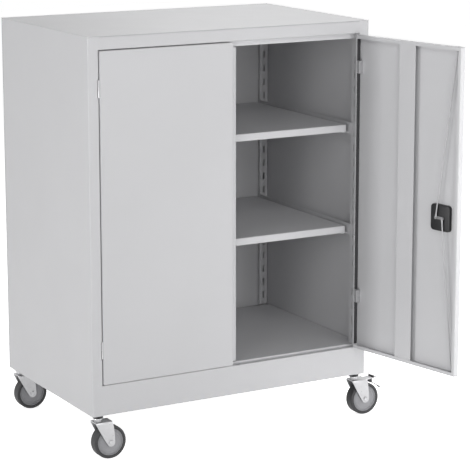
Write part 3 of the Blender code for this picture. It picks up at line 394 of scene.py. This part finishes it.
def build_pedal(corner, x, y):
    """Foot plate beside the crown with a black ridge, brake block under it and wire release behind."""
    px, pz = x + 0.031, -0.0273
    body = f"pedal_{corner}"
    lift = lambda a: 0.005 * a / 0.046

    def plate(work):
        outline = rounded(0.023, 0.015, 0.006, centre=(0.023, 0))
        loft(work, [[(px + a, y + b, pz + h + lift(a)) for a, b in outline] for h in (0.0010, 0.0030)])
        add_rod(work, 0.0030, (px, y - 0.0206, pz), (px, y + 0.0206, pz), 24)

    def ridge(work):
        outline = [(0.0318, 0.0030), (0.0366, 0.0030), (0.0360, 0.0082), (0.0346, 0.0098),
                   (0.0328, 0.0096), (0.0322, 0.0080)]
        loft(work, [[(px + a, y + s * 0.0133, pz + b + 0.002) for a, b in outline] for s in (-1, 1)])

    def block(work):
        outline = [(0.0180, -0.0060), (0.0232, -0.0082), (0.0280, -0.0108), (0.0296, -0.0060),
                   (0.0300, 0.0034), (0.0178, 0.0026)]
        loft(work, [[(px + a, y + s * 0.0120, pz + b) for a, b in outline] for s in (-1, 1)])

    def release(work):
        add_rod(work, 0.0014, (px + 0.0260, y, pz - 0.0040), (px + 0.0600, y, pz - 0.0278), 16)
        add_rod(work, 0.0009, (px + 0.0336, y + 0.0120, pz + 0.0110),
                (px + 0.0320, y + 0.0135, pz + 0.0185), 12)

    def release_tip(work):
        add_rod(work, 0.0015, (px + 0.0565, y, pz - 0.0254), (px + 0.0600, y, pz - 0.0278), 16, tip=0.0022)
        add_rod(work, 0.0022, (px + 0.0600, y, pz - 0.0278), (px + 0.0655, y, pz - 0.0316), 16)

    add_piece(f"pedal_plate_{corner}", plate, zinc, body, f"brake_pedal_{corner}", slot="zinc", bevel=0.0005)
    add_piece(f"pedal_ridge_{corner}", ridge, black, body, slot="black_plastic", bevel=0.0006)
    add_piece(f"brake_block_{corner}", block, dark_steel_and_painted_shade, body, slot="rubber", bevel=0.0008)
    add_piece(f"pedal_release_{corner}", release, cam_steel, body, slot="zinc")
    add_piece(f"pedal_release_tip_{corner}", release_tip, dark_steel_and_painted_shade, body, slot="black_plastic")


for corner, (x, y) in CORNERS.items():
    # The head discs are dark, not zinc like their part, to stand in for the shade under the body: painted
    # shade.
    add_piece(f"head_disc_{corner}", build_head(x, y), dark_steel_and_painted_shade, "cabinet_body", f"caster_head_{corner}",
              slot="zinc")
    add_piece(f"ball_race_{corner}", build_race(x, y), zinc, "cabinet_body", slot="zinc")
    build_fork(f"fork_skin_{corner}", x, y, f"swivel_{corner}")
    build_wheel(corner, x, y)
    build_axle(corner, x, y)
    if corner.endswith("right"):
        build_pedal(corner, x, y)


# Flush welds where the kick rail and the header rail meet the stiles

def weld(side, low, high):
    def strip(work):
        middle = 0.0318 if side == "left" else WIDTH - 0.0318
        across = [(-0.0022, 0.0014), (-0.0022, 0.0), (-0.0016, -0.00008), (0.0016, -0.00008), (0.0022, 0.0),
                  (0.0022, 0.0014)]
        loft(work, [[(middle + a, b, z) for a, b in across] for z in (low, high)])
    return strip


for side in ("left", "right"):
    add_piece(f"kick_weld_{side}", weld(side, 0.0004, 0.0870), paint, "cabinet_body", slot="paint")
    add_piece(f"header_weld_{side}", weld(side, 1.0486, 1.0836), paint, "cabinet_body", slot="paint")


# Lock and handle of the right-hand door, in the door's own axes: x from the hinge, y to its inner side

LOCK_X, LOCK_Z = -0.3510, 0.5465  # the handle's spindle
PIN_RADIUS = 0.0122  # from the spindle to each of the cam's pins
DOOR_LOW, DOOR_HIGH = 0.0895, 1.0446


def door_point(a, b, h):
    return LOCK_X + a, h, LOCK_Z + b


def dish(work):
    """Recessed cup with its flange on the door's outer face: how far the outline grows, and depth."""
    steps = ((-0.0034, 0.0105), (-0.0014, 0.0101), (-0.0003, 0.0092), (0, 0.0078), (0, -0.0013),
             (0.0072, -0.0013), (0.0080, -0.0020), (0.0072, -0.0033), (-0.0015, -0.0033),
             (-0.0024, -0.0026), (-0.0028, 0.0060), (-0.0050, 0.0080))
    loft(work, [[door_point(a, b, h) for a, b in rounded(0.037 + grow, 0.0386 + grow, 0.011 + grow)]
                for grow, h in steps])


def lever(work):
    rings = []
    for grow, h in ((-0.0020, -0.0036), (-0.0006, -0.0033), (0, -0.0020), (0, 0.0050), (-0.0008, 0.0057)):
        rings.append([(a, h, b) for a, b in rounded(0.007 + grow, 0.028 + grow, 0.0066 + grow)])
    loft(work, rings)
    add_rod(work, 0.0045, (0, 0.0050, 0), (0, 0.0108, 0), 32)


def cylinder(work):
    profile = [(0.0003, -0.0045), (0.0038, -0.0045), (0.0044, -0.0040), (0.0044, 0.0020),
               (0.0003, 0.0020)]
    revolve(work, profile, (0, 0, 0), "Y", 40, False)


# Painted shade: a thin black plate on the cylinder's face stands for the dark opening of the key slot.
def keyhole_painted_shade(work):
    add_box(work, (-0.0006, -0.0047, -0.0026), (0.0006, -0.0044, 0.0026))


def cam(work):
    rings = [[(a, h, b) for a, b in rounded(0.0164 + g, 0.0042 + g, 0.0040 + g)]
             for g, h in ((-0.0004, 0.0108), (0, 0.0111), (0, 0.0130), (-0.0004, 0.0133))]
    loft(work, rings)
    pin = [(0.0002, 0.0130), (0.0017, 0.0130), (0.0017, 0.0176), (0.0027, 0.0177),
           (0.0025, 0.0184), (0.0002, 0.0187)]
    for side in (-1, 1):
        revolve(work, pin, (side * PIN_RADIUS, 0, 0), "Y", 24, False)


def rod_builder(way):
    """Round rod with a flattened eye on the cam's pin, cranked at its far end into the door's edge."""
    eye = Vector((LOCK_X + way * PIN_RADIUS, 0.0157, LOCK_Z))
    edge = DOOR_HIGH if way > 0 else DOOR_LOW
    tip = Vector((-0.4255 + 0.019, 0.009, edge - way * 0.0015))
    knee = Vector((tip.x, tip.y, tip.z - way * 0.010))
    turns = [math.radians(15 * n) for n in range(24)]

    def rod(work):
        add_rod(work, 0.0040, eye + Vector((0, -0.0015, 0)), eye + Vector((0, 0.0015, 0)), 32)
        way_out = (knee - eye).normalized()
        across = way_out.cross(Vector((0, 1, 0))).normalized()
        lift = across.cross(way_out).normalized()
        spine = [(eye + way_out * 0.002, 0.0037, 0.0012), (eye + way_out * 0.010, 0.0028, 0.0014),
                 (eye + way_out * 0.018, 0.0018, 0.0018), (knee - way_out * 0.003, 0.0018, 0.0018)]
        rings = [[point + across * wide * math.cos(t) + lift * thick * math.sin(t) for t in turns]
                 for point, wide, thick in spine]
        ring = lambda centre, radius: [
            centre + Vector((way * radius * math.cos(t), radius * math.sin(t), 0)) for t in turns]
        rings += [ring(knee, 0.0018), ring(tip - Vector((0, 0, way * 0.0006)), 0.0018), ring(tip, 0.0012)]
        loft(work, rings)
    return rod


HANDLE = RIGHT_HINGE @ Matrix.Translation((LOCK_X, 0, LOCK_Z))
add_piece("dish_skin", dish, black, "right_door", "handle_dish", matrix=RIGHT_HINGE, slot="black_plastic")
add_piece("lever_skin", lever, black, "handle", "handle_lever", matrix=HANDLE, slot="black_plastic")
add_piece("cylinder_skin", cylinder, zinc, "lock_cylinder", "lock_cylinder", matrix=HANDLE, slot="zinc")
# The black key slot plate is painted shade of the slot's opening.
add_piece("keyhole_shade_mark", keyhole_painted_shade, black, "lock_cylinder", matrix=HANDLE, slot="zinc")
add_piece("cam_skin", cam, cam_steel, "handle", "lock_cam", matrix=HANDLE, slot="zinc")
for level, way in (("upper", 1), ("lower", -1)):
    add_piece(f"{level}_rod_skin", rod_builder(way), rod_steel, f"{level}_lock_rod",
              f"{level}_lock_rod", matrix=RIGHT_HINGE, slot="zinc")


# Right-hand door: open pocket along its hinge edge with the two brackets, and the collar of the dish

def hinge_pocket(work):
    """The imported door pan, to be cut free of its lip along the hinge edge."""
    panel = NODES["right_door_panel"]
    work.from_mesh(panel.data)
    bmesh.ops.transform(work, matrix=panel.matrix_world, verts=work.verts[:])


def lip_cutter(work):
    add_box(work, (-0.0152, 0.0150, 0.1010), (-0.0075, 0.0180, 1.0331))


def hinge_leaf(height):
    """Upper knuckle, its plate behind the door's sheet, and the bracket in the pocket."""
    def leaf(work):
        add_rod(work, 0.0027, (0, 0, height + 0.0004), (0, 0, height + 0.0248), 32)
        add_box(work, (-0.0150, 0.0010, height + 0.0006), (0, 0.0018, height + 0.0246))
        add_box(work, (-0.0172, 0.0008, height - 0.0188), (-0.0078, 0.0156, height + 0.0188))
    return leaf


def collar(work):
    """Pressed edge of the door's cut-out around the dish."""
    wide, tight = rounded(0.0412, 0.0428, 0.0142), rounded(0.0373, 0.0389, 0.0113)
    rings = [[work.verts.new(door_point(a, b, h)) for a, b in outline]
             for outline, h in ((wide, 0.0003), (wide, 0.0005), (tight, 0.0008), (tight, 0.0003))]
    count = len(wide)
    for low, high in zip(rings, rings[1:] + rings[:1]):
        for n in range(count):
            work.faces.new((low[n], low[(n + 1) % count], high[(n + 1) % count], high[n]))


door_skin = add_piece("right_door_skin", hinge_pocket, paint, "right_door", "right_door_panel",
                      matrix=Matrix.Identity(4), slot="paint", smooth=30)
cut_away(door_skin, lip_cutter, "DIFFERENCE", RIGHT_HINGE)
door_skin.data.shade_flat()
LEAF_HEIGHTS = {"lower": DOOR_LOW + 0.1625, "upper": DOOR_HIGH - 0.0956}
for level, height in LEAF_HEIGHTS.items():
    add_piece(f"hinge_leaf_skin_{level}", hinge_leaf(height), rod_steel, "right_door",
              f"hinge_door_leaf_right_{level}", matrix=RIGHT_HINGE, slot="zinc", bevel=0.0006)


def painted_pocket_shade(work):
    """Painted shade: a dark strip along the pocket's inner wall, broken at the two brackets, standing in for
    the shade deep in the pocket.
    """
    gap = 0.0192
    low, high = LEAF_HEIGHTS["lower"], LEAF_HEIGHTS["upper"]
    for start, end in ((0.1015, low - gap), (low + gap, high - gap), (high + gap, 1.0328)):
        add_box(work, (-0.0062, 0.0008, start), (-0.0045, 0.0155, end))


# This dark strip is painted shade for the hinge pocket, not a real seal.
add_piece("hinge_pocket_shade_strip", painted_pocket_shade, rubber, "right_door", matrix=RIGHT_HINGE, slot="rubber", bevel=0.0004)
add_piece("dish_collar", collar, paint, "right_door", matrix=RIGHT_HINGE, slot="paint")


# Finishes of the CAD pieces that keep their shape

for name, item in NODES.items():
    if item.hide_render:
        continue
    material = zinc if name.startswith("hinge_frame") else paint
    item.data.materials.clear()
    item.data.materials.append(material)


# Floor, backdrop, light and camera

def seen_directly(tree):
    """1 for rays of the camera and for those that a glossy or clear surface sends on, else 0."""
    ray = tree.nodes.new("ShaderNodeLightPath")
    value = ray.outputs["Is Camera Ray"]
    for name in ("Is Glossy Ray", "Is Transmission Ray"):
        add = tree.nodes.new("ShaderNodeMath")
        add.operation = "MAXIMUM"
        tree.links.new(value, add.inputs[0])
        tree.links.new(ray.outputs[name], add.inputs[1])
        value = add.outputs["Value"]
    return value


def make_floor():
    mesh = bpy.data.meshes.new("floor")
    work = bmesh.new()
    bmesh.ops.create_grid(work, x_segments=1, y_segments=1, size=12.0)
    work.to_mesh(mesh)
    work.free()
    floor = bpy.data.objects.new("floor", mesh)
    bpy.context.scene.collection.objects.link(floor)
    material, tree, shader = new_material("white_floor", (0.90, 0.90, 0.90), 0.9)
    shader.inputs["Specular IOR Level"].default_value = 0.1
    light = tree.nodes.new("ShaderNodeEmission")
    light.inputs["Color"].default_value = (1, 1, 1, 1)
    light.inputs["Strength"].default_value = 0.82
    total = tree.nodes.new("ShaderNodeAddShader")
    tree.links.new(shader.outputs["BSDF"], total.inputs[0])
    tree.links.new(light.outputs["Emission"], total.inputs[1])
    choose = tree.nodes.new("ShaderNodeMixShader")
    tree.links.new(seen_directly(tree), choose.inputs["Fac"])
    tree.links.new(shader.outputs["BSDF"], choose.inputs[1])
    tree.links.new(total.outputs["Shader"], choose.inputs[2])
    tree.links.new(choose.outputs["Shader"], tree.nodes["Material Output"].inputs["Surface"])
    mesh.materials.append(material)


def make_world():
    world = bpy.data.worlds.new("studio")
    bpy.context.scene.world = world
    world.use_nodes = True
    tree = world.node_tree
    back = tree.nodes["Background"]
    back.inputs["Color"].default_value = (1.0, 1.0, 1.0, 1)
    back.inputs["Strength"].default_value = 0.18
    white = tree.nodes.new("ShaderNodeBackground")
    white.inputs["Color"].default_value = (1, 1, 1, 1)
    white.inputs["Strength"].default_value = 1.0
    choose = tree.nodes.new("ShaderNodeMixShader")
    tree.links.new(seen_directly(tree), choose.inputs["Fac"])
    tree.links.new(back.outputs["Background"], choose.inputs[1])
    tree.links.new(white.outputs["Background"], choose.inputs[2])
    tree.links.new(choose.outputs["Shader"], tree.nodes["World Output"].inputs["Surface"])


# Name, place, point that it faces, size and watts; places from the body's front left bottom corner
LAMPS = (
    ("left", (-4.0, 0.3, 0.8), (0.0, 0.3, 0.5), (0.3, 0.3), 60),
    ("front_left", (-2.4, -2.4, 1.0), (0.7, 0.1, 0.5), (1.0, 1.5), 23),
    ("front", (0.2, -5.0, 1.0), (0.4, 0.0, 0.5), (3.0, 3.0), 58),
    ("front_high", (-0.5, -3.0, 2.6), (0.5, 0.1, 0.5), (1.5, 1.5), 26),
    ("front_right", (3.5, -1.2, 1.0), (0.6, 0.0, 0.5), (1.5, 2.0), 20),
    ("right", (4.0, 0.5, 1.0), (0.6, 0.3, 0.5), (2.0, 2.0), 46),
    ("back_high", (1.8, 2.0, 3.0), (0.5, 0.3, 0.8), (1.5, 1.5), 38),
    ("doorway", (1.1, -1.0, 0.55), (0.8, 0.0, 0.55), (0.4, 1.6), 4.0),
)


def area_light(name, place, target, size, power):
    light = bpy.data.lights.new(name, "AREA")
    light.shape = "RECTANGLE"
    light.size, light.size_y = size
    light.energy = power
    item = bpy.data.objects.new(name, light)
    item.location = CORNER + Vector(place)
    item.rotation_euler = (Vector(target) - Vector(place)).to_track_quat("-Z", "Y").to_euler()
    bpy.context.scene.collection.objects.link(item)


def make_camera():
    camera = bpy.data.cameras.new("camera")
    camera.sensor_fit = "HORIZONTAL"
    camera.sensor_width = 36.0
    camera.lens = 150.6
    camera.shift_y = -0.05
    item = bpy.data.objects.new("camera", camera)
    item.location = CORNER + Vector((-2.28642, -4.86707, 1.6912))
    tilt, turn = 11.5148, 29.4734  # degrees down, and to the right of the cabinet's depth
    item.rotation_euler = (math.radians(90 - tilt), 0, math.radians(-turn))
    bpy.context.scene.collection.objects.link(item)
    bpy.context.scene.camera = item


make_floor()
make_world()
for lamp in LAMPS:
    area_light(*lamp)
make_camera()
bpy.context.scene.view_settings.view_transform = "Standard"
